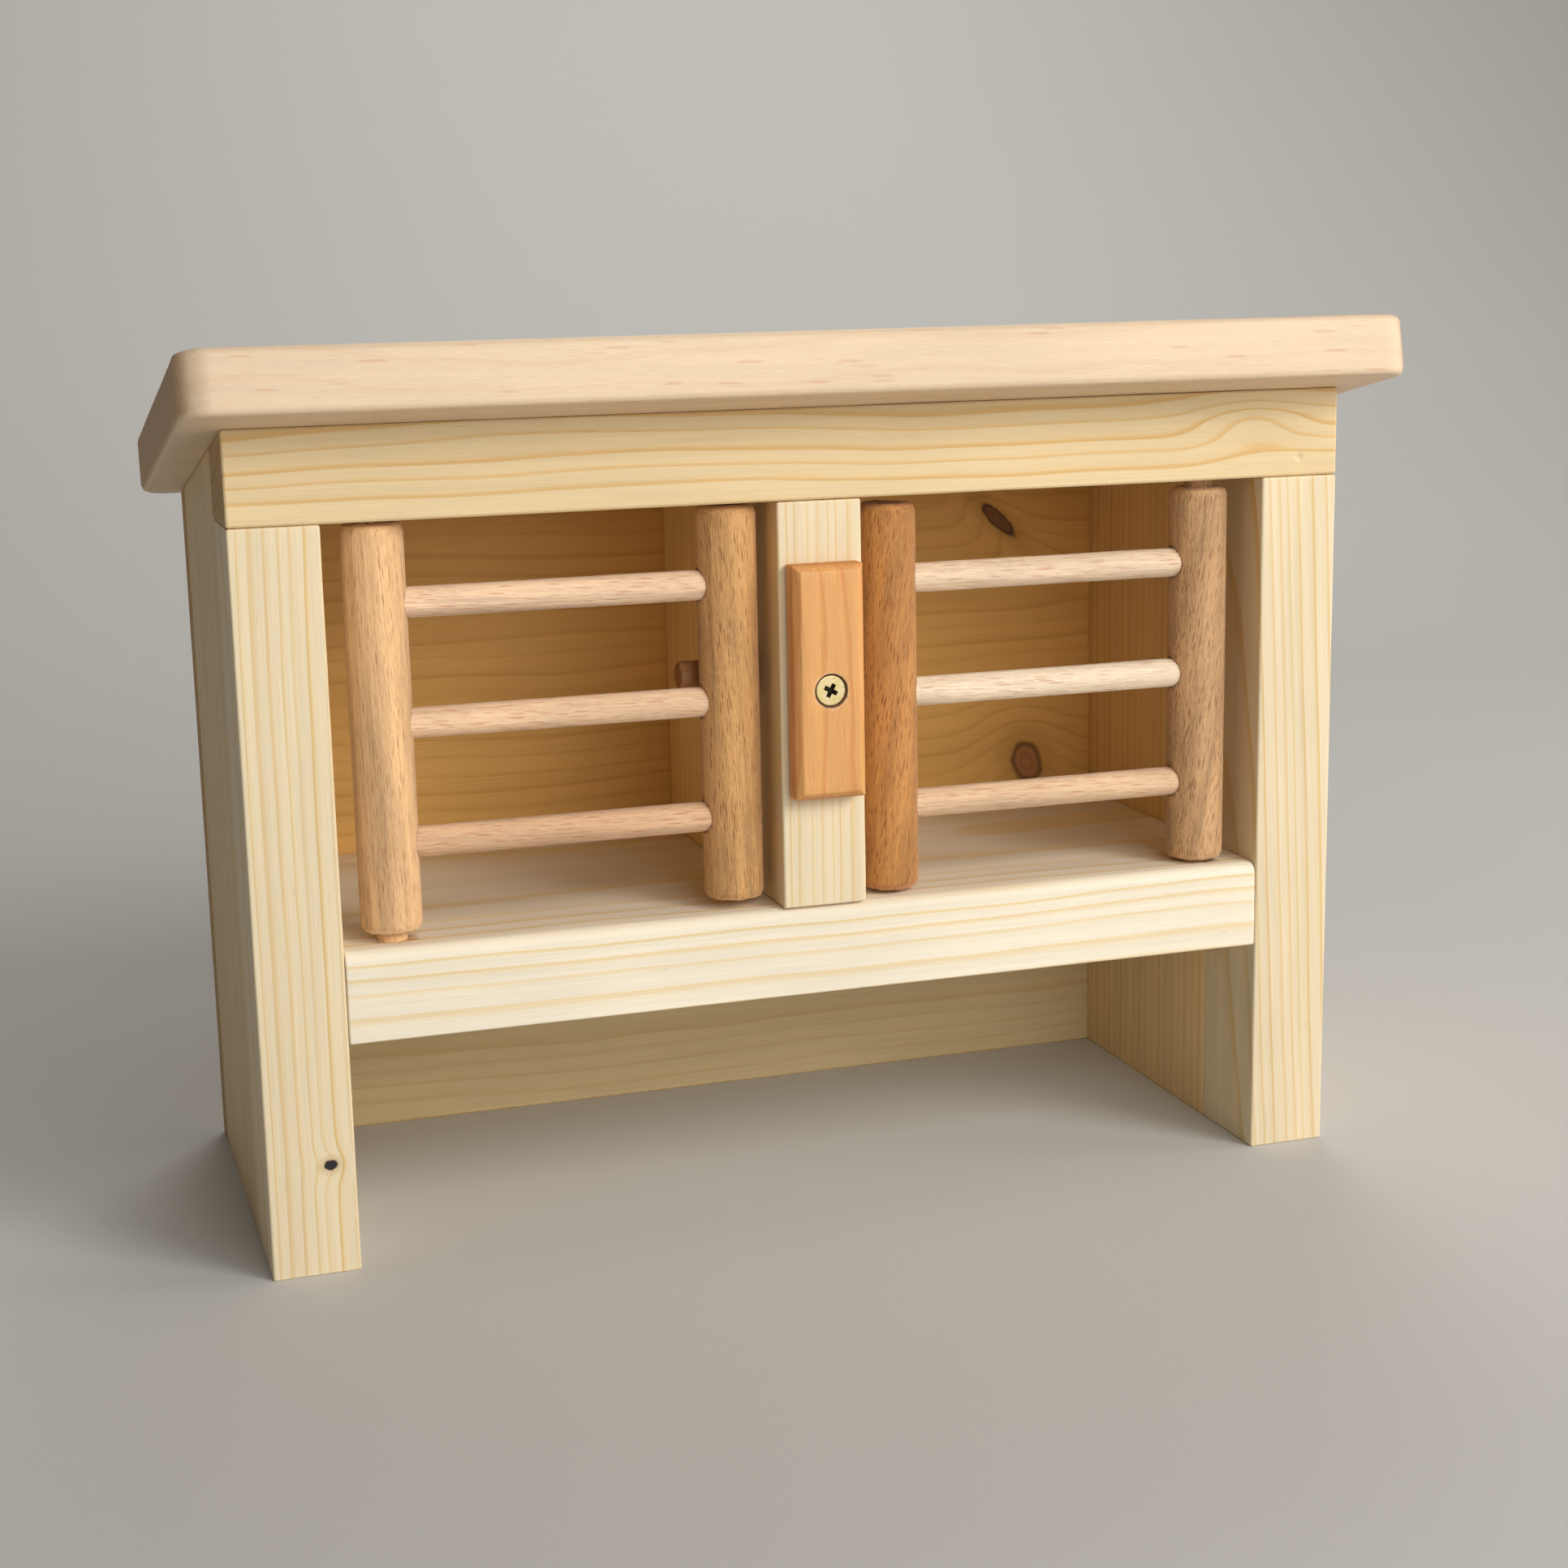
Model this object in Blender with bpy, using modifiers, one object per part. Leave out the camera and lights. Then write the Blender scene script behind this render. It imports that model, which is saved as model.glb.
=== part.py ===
"""Small wooden hutch on legs: sloping roof, front frame, two ladder doors and a turn button.

Units are metres and +Z is up. The front faces -Y and +X is to the right seen from the front.
The origin is on the floor, under the centre of the whole object's box.
"""
import math

import bmesh
import bpy
from mathutils import Vector

# ---------------------------------------------------------------- driving sizes
GAP = 0.0003                 # glue line between two touching pieces

CARCASS_WIDTH = 0.303
BOARD = 0.0225               # stiles and side panels, across the width
CENTRE_WIDTH = 0.023
FRAME_DEPTH = 0.030          # stiles and rail, front to back
SIDE_BACK = 0.1126           # rear edge of the side panels, from the front face
BACK_THICKNESS = 0.011

SHELF_TOP = 0.0848
SHELF_THICKNESS = 0.024
SHELF_NOSE = 0.003           # rounding of the shelf's upper front edge
RAIL_BOTTOM = 0.1937
RAIL_HEIGHT = 0.024

ROOF_ANGLE = math.radians(11.0)
ROOF_THICKNESS = 0.016
ROOF_LENGTH = 0.156          # along the slope
ROOF_FRONT = 0.0217          # overhang in front, along the slope
ROOF_SIDE = 0.011            # overhang at each end
ROOF_CORNER = 0.008
ROOF_EDGE = 0.0018

EDGE = 0.0006                # eased edges of the boards

DOWEL_R = 0.008
DOWEL_LENGTH = 0.1052
DOWEL_CHAMFER = 0.002
SPIGOT_R = 0.004
SPIGOT_LENGTH = 0.0085
RUNG_R = 0.004
RUNG_SEAT = 0.005            # depth a rung runs into each dowel
RUNG_HEIGHTS = (0.0225, 0.0535, 0.0845)
DOOR_DEPTH = 0.011           # dowel axes, behind the front face
HINGE_INSET = 0.1148         # hinge axes, from the middle
CLOSING_INSET = 0.0223       # closing dowels, from the middle
LEFT_DOOR_BOTTOM = 0.0873
RIGHT_DOOR_BOTTOM = 0.0858

STOP_R = 0.004
STOP_LENGTH = 0.066
STOP_DEPTH = 0.0235
STOP_HEIGHT = 0.146

LATCH_WIDTH = 0.0195
LATCH_HEIGHT = 0.062
LATCH_THICKNESS = 0.007
LATCH_CHAMFER = 0.0018
LATCH_STANDOFF = 0.0006
LATCH_AXIS_HEIGHT = 0.1444
LATCH_OFFSET = 0.002         # the screw sits this far below the button's middle

SCREW_HEAD_R = 0.004
SCREW_HEAD_DEPTH = 0.0024
SCREW_R = 0.002
SCREW_LENGTH = 0.020
SCREW_SUNK = 0.0004

BACK_SCREW_HEAD_R = 0.0035
BACK_SCREW_R = 0.0017
BACK_SCREW_LENGTH = 0.028

PIN_R = 0.003
HOLE_CLEARANCE = 0.00025

HALF = CARCASS_WIDTH / 2
INNER = HALF - BOARD
RAIL_TOP = RAIL_BOTTOM + RAIL_HEIGHT
SLOPE = math.tan(ROOF_ANGLE)
ROOF_FOREMOST = -ROOF_FRONT * math.cos(ROOF_ANGLE) + ROOF_EDGE * math.sin(ROOF_ANGLE)
ROOF_REARMOST = ((ROOF_LENGTH - ROOF_FRONT) * math.cos(ROOF_ANGLE)
                 + (ROOF_THICKNESS - ROOF_EDGE) * math.sin(ROOF_ANGLE))
FRONT_Y = -(ROOF_FOREMOST + ROOF_REARMOST) / 2   # the front face of the frame

PINE = (0.86, 0.72, 0.47)
MAPLE = (0.85, 0.67, 0.47)
BEECH = (0.74, 0.52, 0.33)
ALDER = (0.82, 0.54, 0.28)
ZINC = (0.80, 0.72, 0.42)


# ---------------------------------------------------------------- scene helpers
def clear_scene():
    for obj in list(bpy.data.objects):
        bpy.data.objects.remove(obj, do_unlink=True)


def make_collection(name):
    coll = bpy.data.collections.new(name)
    bpy.context.scene.collection.children.link(coll)
    return coll


def make_material(name, color, roughness=0.6, metallic=0.0):
    mat = bpy.data.materials.new(name)
    mat.use_nodes = True
    shader = mat.node_tree.nodes["Principled BSDF"]
    shader.inputs["Base Color"].default_value = (*color, 1.0)
    shader.inputs["Roughness"].default_value = roughness
    shader.inputs["Metallic"].default_value = metallic
    return mat


clear_scene()
PARTS = make_collection("hutch")
CUTTERS = make_collection("hutch_cutters")


def add_object(name, mesh, finish=None, parent=None):
    obj = bpy.data.objects.new(name, mesh)
    if finish is None:
        CUTTERS.objects.link(obj)
        obj.hide_render = True
        obj.display_type = "WIRE"
    else:
        PARTS.objects.link(obj)
        mesh.materials.append(make_material(name, *finish))
    obj.parent = parent
    return obj


def add_axis(name, location):
    empty = bpy.data.objects.new(name, None)
    empty.location = location
    PARTS.objects.link(empty)
    return empty


def box_mesh(name, size, corner_r=0.0, nose_r=0.0):
    """A box about its own centre; corner_r rounds it in plan, nose_r its upper front edge."""
    bm = bmesh.new()
    bmesh.ops.create_cube(bm, size=1.0)
    bmesh.ops.scale(bm, vec=size, verts=bm.verts)
    if corner_r:
        upright = [e for e in bm.edges
                   if abs(e.verts[0].co.z - e.verts[1].co.z) > size[2] * 0.9]
        bmesh.ops.bevel(bm, geom=upright, offset=corner_r, segments=5, profile=0.5,
                        affect="EDGES")
    if nose_r:
        nose = [e for e in bm.edges
                if all(v.co.y < 0 and v.co.z > 0 for v in e.verts)]
        bmesh.ops.bevel(bm, geom=nose, offset=nose_r, segments=4, profile=0.5,
                        affect="EDGES")
    mesh = bpy.data.meshes.new(name)
    bm.to_mesh(mesh)
    bm.free()
    return mesh


def add_bevel(obj, width, segments=2):
    mod = obj.modifiers.new("edges", "BEVEL")
    mod.width = width
    mod.segments = segments
    mod.limit_method = "ANGLE"
    mod.angle_limit = math.radians(40)
    return mod


def cut(obj, cutter):
    mod = obj.modifiers.new("cut_" + cutter.name, "BOOLEAN")
    mod.operation = "DIFFERENCE"
    mod.solver = "EXACT"
    mod.object = cutter


def board(name, low, high, finish, edge=EDGE, under_roof=False, nose_r=0.0):
    """A board between two corners, y measured from the frame's front face."""
    low = Vector(low)
    high = Vector(high)
    obj = add_object(name, box_mesh(name, high - low, nose_r=nose_r), finish)
    obj.location = (low + high) / 2 + Vector((0, FRONT_Y, 0))
    if under_roof:
        cut(obj, ROOF_CUTTER)
    if edge:
        add_bevel(obj, edge)
    return obj


def turned(name, profile, steps, finish=None, parent=None):
    """A turned piece about local Z, from (radius, height) pairs listed top to bottom."""
    mesh = bpy.data.meshes.new(name)
    bm = bmesh.new()
    verts = [bm.verts.new((r, 0.0, z)) for r, z in profile]
    for first, second in zip(verts, verts[1:]):
        bm.edges.new((first, second))
    bm.to_mesh(mesh)
    bm.free()
    obj = add_object(name, mesh, finish, parent)
    mod = obj.modifiers.new("turn", "SCREW")
    mod.axis = "Z"
    mod.angle = math.tau
    mod.steps = steps
    mod.render_steps = steps
    mod.use_merge_vertices = True
    mod.merge_threshold = 0.00001
    mod.use_smooth_shade = True
    return obj


def rod_profile(radius, length, chamfer, rounding=1):
    """Outline of a plain rod from z = length down to z = 0, its ends chamfered."""
    top = []
    for step in range(rounding + 1):
        turn = math.radians(90) * (1 - step / rounding)
        inset = chamfer * (1 - math.cos(turn))
        drop = chamfer * (1 - math.sin(turn))
        top.append((radius - inset, length - drop))
    bottom = [(r, length - z) for r, z in reversed(top)]
    return [(0.0, length)] + top + bottom + [(0.0, 0.0)]


def aim(obj, start, direction):
    """Place a turned piece with its foot at start and its local Z along direction."""
    obj.location = Vector(start)
    obj.rotation_mode = "QUATERNION"
    obj.rotation_quaternion = Vector(direction).to_track_quat("Z", "Y")


def bore(name, start, direction, radius, length, steps=16):
    cutter = turned(name, [(0.0, length), (radius, length), (radius, 0.0), (0.0, 0.0)], steps)
    aim(cutter, start, direction)
    return cutter


def front(x, y, z):
    """A point given from the frame's front face, in the part's own frame."""
    return Vector((x, FRONT_Y + y, z))


# ---------------------------------------------------------------- roof
def roof_point(along, above):
    """A point in the roof's own directions: along the slope, and square to its underside."""
    y = along * math.cos(ROOF_ANGLE) + above * math.sin(ROOF_ANGLE)
    z = RAIL_TOP - along * math.sin(ROOF_ANGLE) + above * math.cos(ROOF_ANGLE)
    return front(0.0, y, z)


def make_roof():
    size = Vector((CARCASS_WIDTH + 2 * ROOF_SIDE, ROOF_LENGTH, ROOF_THICKNESS))
    roof = add_object("roof", box_mesh("roof", size, corner_r=ROOF_CORNER), (MAPLE, 0.5))
    roof.location = roof_point(ROOF_LENGTH / 2 - ROOF_FRONT, ROOF_THICKNESS / 2)
    roof.rotation_euler = (-ROOF_ANGLE, 0, 0)
    add_bevel(roof, ROOF_EDGE, 2)
    return roof


def make_roof_cutter():
    depth = 0.060
    mesh = box_mesh("roof_plane", Vector((0.5, 0.4, depth)))
    cutter = add_object("roof_plane", mesh)
    cutter.location = roof_point(0.05, depth / 2 - GAP)
    cutter.rotation_euler = (-ROOF_ANGLE, 0, 0)
    return cutter


ROOF_CUTTER = make_roof_cutter()
roof = make_roof()


def underside(y):
    """Height of the roof's underside at a distance y behind the frame's front face."""
    return RAIL_TOP - y * SLOPE


# ---------------------------------------------------------------- carcass
def make_carcass():
    pine = (PINE, 0.55)
    top = RAIL_TOP + 0.01
    side_front = FRAME_DEPTH + GAP
    above_shelf = SHELF_TOP + GAP
    parts = {"roof": roof}
    parts["top_rail"] = board("top_rail", (-HALF, 0, RAIL_BOTTOM), (HALF, FRAME_DEPTH, top),
                              pine, under_roof=True)
    for side, sign in (("left", -1), ("right", 1)):
        near, far = sorted((sign * HALF, sign * INNER))
        parts["stile_" + side] = board(
            "stile_" + side, (near, 0, 0), (far, FRAME_DEPTH, RAIL_BOTTOM - GAP), pine)
        parts["side_" + side] = board(
            "side_" + side, (near, side_front, 0), (far, SIDE_BACK, top), pine,
            under_roof=True)
    parts["shelf"] = board(
        "shelf", (-INNER + GAP, 0, SHELF_TOP - SHELF_THICKNESS),
        (INNER - GAP, SIDE_BACK, SHELF_TOP), pine, nose_r=SHELF_NOSE)
    half_centre = CENTRE_WIDTH / 2
    parts["stile_centre"] = board(
        "stile_centre", (-half_centre, 0, above_shelf),
        (half_centre, FRAME_DEPTH, RAIL_BOTTOM - GAP), pine)
    parts["divider"] = board(
        "divider", (-half_centre, side_front, above_shelf), (half_centre, SIDE_BACK, top),
        pine, under_roof=True)
    parts["back_panel"] = board(
        "back_panel", (-HALF, SIDE_BACK + GAP, 0),
        (HALF, SIDE_BACK + GAP + BACK_THICKNESS, top), pine, under_roof=True)
    return parts


def glue_pin(name, middle, direction, length, joined):
    """A hidden glue dowel, and its hole in each of the two pieces it joins."""
    direction = Vector(direction)
    middle = Vector(middle)
    pin = turned(name, rod_profile(PIN_R, length, 0.0006), 14, (BEECH, 0.6))
    aim(pin, middle - direction * length / 2, direction)
    slack = 0.0004
    hole = bore("hole_" + name, middle - direction * (length / 2 + slack), direction,
                PIN_R + HOLE_CLEARANCE, length + 2 * slack, 14)
    for piece in joined:
        cut(piece, hole)


def pin_carcass(parts):
    mid_frame = FRAME_DEPTH / 2
    mid_shelf = SHELF_TOP - SHELF_THICKNESS / 2
    mid_board = INNER + BOARD / 2
    roof_pins = (("front", 0.052), ("rear", 0.098))
    shelf_pins = (("front", mid_frame, "stile_"), ("rear", 0.085, "side_"))
    for side, sign in (("left", -1), ("right", 1)):
        glue_pin("pin_rail_" + side, front(sign * mid_board, mid_frame, RAIL_BOTTOM),
                 (0, 0, 1), 0.028, (parts["top_rail"], parts["stile_" + side]))
        for place, y, piece in shelf_pins:
            glue_pin("pin_shelf_" + place + "_" + side,
                     front(sign * INNER, y, mid_shelf), (1, 0, 0), 0.028,
                     (parts["shelf"], parts[piece + side]))
        for place, y in roof_pins:
            glue_pin("pin_roof_" + place + "_" + side,
                     front(sign * mid_board, y, underside(y) - 0.002), (0, 0, 1), 0.022,
                     (roof, parts["side_" + side]))
    glue_pin("pin_centre_top", front(0, mid_frame, RAIL_BOTTOM), (0, 0, 1), 0.028,
             (parts["top_rail"], parts["stile_centre"]))
    glue_pin("pin_centre_bottom", front(0, mid_frame, SHELF_TOP), (0, 0, 1), 0.028,
             (parts["shelf"], parts["stile_centre"]))
    glue_pin("pin_divider", front(0, 0.070, SHELF_TOP), (0, 0, 1), 0.028,
             (parts["shelf"], parts["divider"]))


def screw_profile(head_r, head_depth, shank_r, length, grow=0.0):
    """A countersunk screw, head up at z = 0, or with grow the hole that it sits in."""
    tip = 0.0045
    top = [(0.0, 0.0), (head_r + grow, 0.0), (head_r + grow, -0.0003)]
    if grow:
        top = [(0.0, 0.004), (head_r + grow, 0.004), (head_r + grow, -0.0003)]
    return top + [(shank_r + grow, -head_depth), (shank_r + grow, -(length - tip) - grow),
                  (0.0004 + grow, -length - grow), (0.0, -length - grow)]


def make_back_screws(parts):
    head_depth = 0.0021
    rear = SIDE_BACK + GAP + BACK_THICKNESS
    mid_shelf = SHELF_TOP - SHELF_THICKNESS / 2
    mid_board = INNER + BOARD / 2
    places = []
    for side, sign in (("left", -1), ("right", 1)):
        for row, z in (("low", 0.022), ("mid", 0.102), ("high", 0.172)):
            places.append((row + "_" + side, sign * mid_board, z, "side_" + side))
    places.append(("low_centre", 0.0, mid_shelf, "shelf"))
    places.append(("high_centre", 0.0, 0.160, "divider"))
    for label, x, z, piece in places:
        sizes = (BACK_SCREW_HEAD_R, head_depth, BACK_SCREW_R, BACK_SCREW_LENGTH)
        screw = turned("screw_back_" + label, screw_profile(*sizes), 16, (ZINC, 0.35, 1.0))
        hole = turned("hole_back_" + label, screw_profile(*sizes, grow=0.0003), 16)
        for obj in (screw, hole):
            aim(obj, front(x, rear - 0.0004, z), (0, 1, 0))
        cut(parts["back_panel"], hole)
        cut(parts[piece], hole)


# ---------------------------------------------------------------- doors
def hinge_profile():
    """A round dowel with a spigot turned on each end, bottom of the dowel at z = 0."""
    body = rod_profile(DOWEL_R, DOWEL_LENGTH, DOWEL_CHAMFER, 2)[1:-1]
    top = [(0.0, DOWEL_LENGTH + SPIGOT_LENGTH),
           (SPIGOT_R - 0.0004, DOWEL_LENGTH + SPIGOT_LENGTH),
           (SPIGOT_R, DOWEL_LENGTH + SPIGOT_LENGTH - 0.0004), (SPIGOT_R, DOWEL_LENGTH)]
    bottom = [(r, DOWEL_LENGTH - z) for r, z in reversed(top)]
    return top + body + bottom


def make_door(side, sign, base, parts):
    """A ladder door: hinge dowel, closing dowel and three rungs. sign is -1 on the left."""
    beech = (BEECH, 0.6)
    hinge_at = front(sign * HINGE_INSET, DOOR_DEPTH, base)
    axis = add_axis("axis_door_" + side, hinge_at)
    across = -sign * (HINGE_INSET - CLOSING_INSET)
    hinge = turned("door_" + side + "_hinge_dowel", hinge_profile(), 32, beech, axis)
    closing = turned("door_" + side + "_closing_dowel",
                     rod_profile(DOWEL_R, DOWEL_LENGTH, DOWEL_CHAMFER, 2), 32, beech, axis)
    closing.location.x = across
    toward = Vector((math.copysign(1.0, across), 0, 0))
    start = DOWEL_R - RUNG_SEAT
    length = abs(across) - 2 * start
    slack = 0.0003
    for number, height in enumerate(RUNG_HEIGHTS, 1):
        foot = toward * start + Vector((0, 0, height))
        rung = turned("door_" + side + "_rung_" + str(number),
                      rod_profile(RUNG_R, length, 0.0005), 20, beech, axis)
        aim(rung, foot, toward)
        hole = bore("hole_rung_" + side + "_" + str(number),
                    hinge_at + foot - toward * slack, toward,
                    RUNG_R + HOLE_CLEARANCE, length + 2 * slack, 20)
        cut(hinge, hole)
        cut(closing, hole)
    reach = SPIGOT_LENGTH + 0.0012
    seats = (("shelf", base - reach), ("top_rail", base + DOWEL_LENGTH - 0.001))
    for piece, z in seats:
        seat = bore("seat_" + piece + "_" + side, front(sign * HINGE_INSET, DOOR_DEPTH, z),
                    (0, 0, 1), SPIGOT_R + HOLE_CLEARANCE, reach + 0.001, 24)
        cut(parts[piece], seat)


# ---------------------------------------------------------------- stop and turn button
def make_stop(parts):
    stop = turned("door_stop", rod_profile(STOP_R, STOP_LENGTH, 0.0008), 20, (BEECH, 0.6))
    aim(stop, front(-STOP_LENGTH / 2, STOP_DEPTH, STOP_HEIGHT), (1, 0, 0))
    hole = bore("hole_stop", front(-STOP_LENGTH / 2, STOP_DEPTH, STOP_HEIGHT), (1, 0, 0),
                STOP_R + HOLE_CLEARANCE, STOP_LENGTH, 20)
    cut(parts["stile_centre"], hole)


def make_latch(parts):
    axis = add_axis("axis_latch", front(0, -LATCH_STANDOFF, LATCH_AXIS_HEIGHT))
    size = Vector((LATCH_WIDTH, LATCH_THICKNESS, LATCH_HEIGHT))
    bm = bmesh.new()
    bmesh.ops.create_cube(bm, size=1.0)
    bmesh.ops.scale(bm, vec=size, verts=bm.verts)
    rim = [e for e in bm.edges if all(v.co.y < 0 for v in e.verts)]
    bmesh.ops.bevel(bm, geom=rim, offset=LATCH_CHAMFER, segments=1, profile=0.5,
                    affect="EDGES")
    mesh = bpy.data.meshes.new("latch")
    bm.to_mesh(mesh)
    bm.free()
    latch = add_object("latch", mesh, (ALDER, 0.45), axis)
    latch.location = (0, -LATCH_THICKNESS / 2, LATCH_OFFSET)
    add_bevel(latch, 0.0003, 1)
    sizes = (SCREW_HEAD_R, SCREW_HEAD_DEPTH, SCREW_R, SCREW_LENGTH)
    screw = turned("latch_screw", screw_profile(*sizes), 24, (ZINC, 0.35, 1.0))
    hole = turned("hole_latch", screw_profile(*sizes, grow=0.0004), 24)
    face = front(0, SCREW_SUNK - LATCH_STANDOFF - LATCH_THICKNESS, LATCH_AXIS_HEIGHT)
    for obj in (screw, hole):
        aim(obj, face, (0, -1, 0))
    cut(latch, hole)
    cut(parts["stile_centre"], hole)


parts = make_carcass()
pin_carcass(parts)
make_back_screws(parts)
make_door("left", -1, LEFT_DOOR_BOTTOM, parts)
make_door("right", 1, RIGHT_DOOR_BOTTOM, parts)
make_stop(parts)
make_latch(parts)
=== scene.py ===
"""Looks for the small wooden hutch.

Planed pine boards, beech ladder doors, an alder turn button and yellow zinc screws. Every visible
wooden piece is cut from its CAD solid, made finer, and given the slight unevenness of hand
finishing. The screws are turned anew with a driver recess. Units are metres in the shared frame:
the front faces -Y, +X is to the right, +Z is up.
"""
import math

import bmesh
import bpy
from mathutils import Matrix, Vector, noise


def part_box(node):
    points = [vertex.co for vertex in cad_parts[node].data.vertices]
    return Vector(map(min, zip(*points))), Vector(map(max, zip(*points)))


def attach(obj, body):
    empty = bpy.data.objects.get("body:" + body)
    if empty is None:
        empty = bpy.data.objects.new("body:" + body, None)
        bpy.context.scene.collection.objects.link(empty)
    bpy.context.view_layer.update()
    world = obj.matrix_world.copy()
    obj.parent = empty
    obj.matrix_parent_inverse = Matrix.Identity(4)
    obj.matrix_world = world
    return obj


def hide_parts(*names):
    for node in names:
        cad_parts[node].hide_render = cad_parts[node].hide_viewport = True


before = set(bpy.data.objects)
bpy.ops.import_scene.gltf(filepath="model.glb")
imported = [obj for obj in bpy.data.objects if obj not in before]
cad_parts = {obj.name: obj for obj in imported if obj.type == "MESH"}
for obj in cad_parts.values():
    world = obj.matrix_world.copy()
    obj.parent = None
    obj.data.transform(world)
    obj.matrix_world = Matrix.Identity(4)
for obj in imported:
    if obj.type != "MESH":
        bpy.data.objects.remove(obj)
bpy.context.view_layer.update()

MM = 0.001
ROOF_TILT = math.radians(-11.0)      # the roof board falls to the back
SIDES = ("left", "right")
AXES = {"X": 0, "Y": 1, "Z": 2}
GLUE_FILL = 0.13 * MM                # how far glued boards swell towards each other
SLOW_WAVE = 0.045                    # sizes of the unevenness that planing and sanding leave
QUICK_WAVE = 0.0075
FRAY_DEPTH = 0.35 * MM               # roughness of the dowels' turned ends
FRAY_REACH = 2.5 * MM
FRAY_GRAIN = 0.0011
CAD_MERGE = 0.002 * MM               # joins the CAD faces' separate corners
TURNED_MERGE = 0.003 * MM
SHADING_WEIGHT = 90
HEAD_STEPS = 40                      # sides of a turned screw

stile_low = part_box("stile_left")[0]
panel_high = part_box("back_panel")[1]
rail_low, rail_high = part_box("top_rail")
shelf_low, shelf_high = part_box("shelf")
screw_low, screw_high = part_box("latch_screw")
FRONT = stile_low.y
SHELF_MIDDLE = (shelf_low.z + shelf_high.z) / 2
SCREW_AXIS = (screw_low + screw_high) / 2
HEAD_R = (screw_high.x - screw_low.x) / 2


# ---------------------------------------------------------------- node graphs
class Graph:
    """Short calls that build one material's nodes. Every value is a number, a tuple or a socket."""

    def __init__(self, name):
        self.material = bpy.data.materials.new(name)
        self.material.use_nodes = True
        self.tree = self.material.node_tree
        self.shader = self.tree.nodes["Principled BSDF"]
        coordinates = self.add("ShaderNodeTexCoord")
        self.place = coordinates.outputs["Object"]
        self.normal = coordinates.outputs["Normal"]

    def add(self, kind, **settings):
        node = self.tree.nodes.new(kind)
        for key, value in settings.items():
            setattr(node, key, value)
        return node

    def put(self, value, socket):
        if isinstance(value, bpy.types.NodeSocket):
            self.tree.links.new(value, socket)
        elif isinstance(value, tuple) and socket.type == "RGBA":
            socket.default_value = (*value[:3], 1.0)
        else:
            socket.default_value = value

    def math(self, operation, *values):
        node = self.add("ShaderNodeMath", operation=operation)
        for value, socket in zip(values, node.inputs):
            self.put(value, socket)
        return node.outputs[0]

    def total(self, *values):
        result = values[0]
        for value in values[1:]:
            result = self.math("ADD", result, value)
        return result

    def times(self, *values):
        result = values[0]
        for value in values[1:]:
            result = self.math("MULTIPLY", result, value)
        return result

    def vector(self, operation, a, b):
        node = self.add("ShaderNodeVectorMath", operation=operation)
        self.put(a, node.inputs[0])
        self.put(b, node.inputs[1])
        return node.outputs["Vector"]

    def split(self, value):
        node = self.add("ShaderNodeSeparateXYZ")
        self.put(value, node.inputs[0])
        return node.outputs[0], node.outputs[1], node.outputs[2]

    def join(self, x, y, z):
        node = self.add("ShaderNodeCombineXYZ")
        for value, socket in zip((x, y, z), node.inputs):
            self.put(value, socket)
        return node.outputs[0]

    def noise(self, where, detail=2.0, roughness=0.5):
        """Smooth random numbers from about -0.5 to 0.5, with one feature per unit of where."""
        node = self.add("ShaderNodeTexNoise", noise_dimensions="3D")
        self.put(where, node.inputs["Vector"])
        node.inputs["Scale"].default_value = 1.0
        node.inputs["Detail"].default_value = detail
        node.inputs["Roughness"].default_value = roughness
        return self.math("SUBTRACT", node.outputs["Fac"], 0.5)

    def cells(self, where):
        """Distance to the nearest of the scattered points, and that point's own random number."""
        node = self.add("ShaderNodeTexVoronoi", voronoi_dimensions="3D", feature="F1")
        self.put(where, node.inputs["Vector"])
        node.inputs["Scale"].default_value = 1.0
        return node.outputs["Distance"], self.split(node.outputs["Color"])[0]

    def random(self, value):
        node = self.add("ShaderNodeTexWhiteNoise", noise_dimensions="1D")
        self.put(value, node.inputs["W"])
        return node.outputs["Value"]

    def step(self, value, start, end):
        """0 before start, 1 after end and smooth between; start may be above end."""
        node = self.add("ShaderNodeMapRange", interpolation_type="SMOOTHSTEP")
        self.put(value, node.inputs["Value"])
        flipped = start > end
        low, high = sorted((start, end))
        node.inputs["From Min"].default_value = low
        node.inputs["From Max"].default_value = high
        node.inputs["To Min"].default_value = 1.0 if flipped else 0.0
        node.inputs["To Max"].default_value = 0.0 if flipped else 1.0
        return node.outputs["Result"]

    def mix(self, factor, first, second, blend="MIX"):
        node = self.add("ShaderNodeMix", data_type="RGBA", blend_type=blend)
        colours = [socket for socket in node.inputs if socket.type == "RGBA"]
        self.put(factor, node.inputs["Factor"])
        self.put(first, colours[0])
        self.put(second, colours[1])
        return [socket for socket in node.outputs if socket.type == "RGBA"][0]

    def bump(self, height, distance, strength=1.0):
        node = self.add("ShaderNodeBump")
        node.inputs["Strength"].default_value = strength
        node.inputs["Distance"].default_value = distance
        self.put(height, node.inputs["Height"])
        self.put(node.outputs["Normal"], self.shader.inputs["Normal"])

    def along_grain(self, axis, seed, slant=0.0):
        """(u, v, w) in metres: w runs along the grain, shifted by the seed, u and v across it."""
        x, y, z = self.split(self.place)
        u, v, w = {"X": (z, y, x), "Y": (x, z, y), "Z": (x, y, z)}[axis]
        if slant:
            u = self.total(u, self.times(w, slant))
        return u, v, self.total(w, seed * 0.37)

    def stretched(self, u, v, w, across, along, seed=0.0):
        """Texture coordinates with features across metres wide and along metres long."""
        return self.join(self.total(self.times(u, 1 / across), seed * 3.1),
                         self.times(v, 1 / across), self.times(w, 1 / along))

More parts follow.
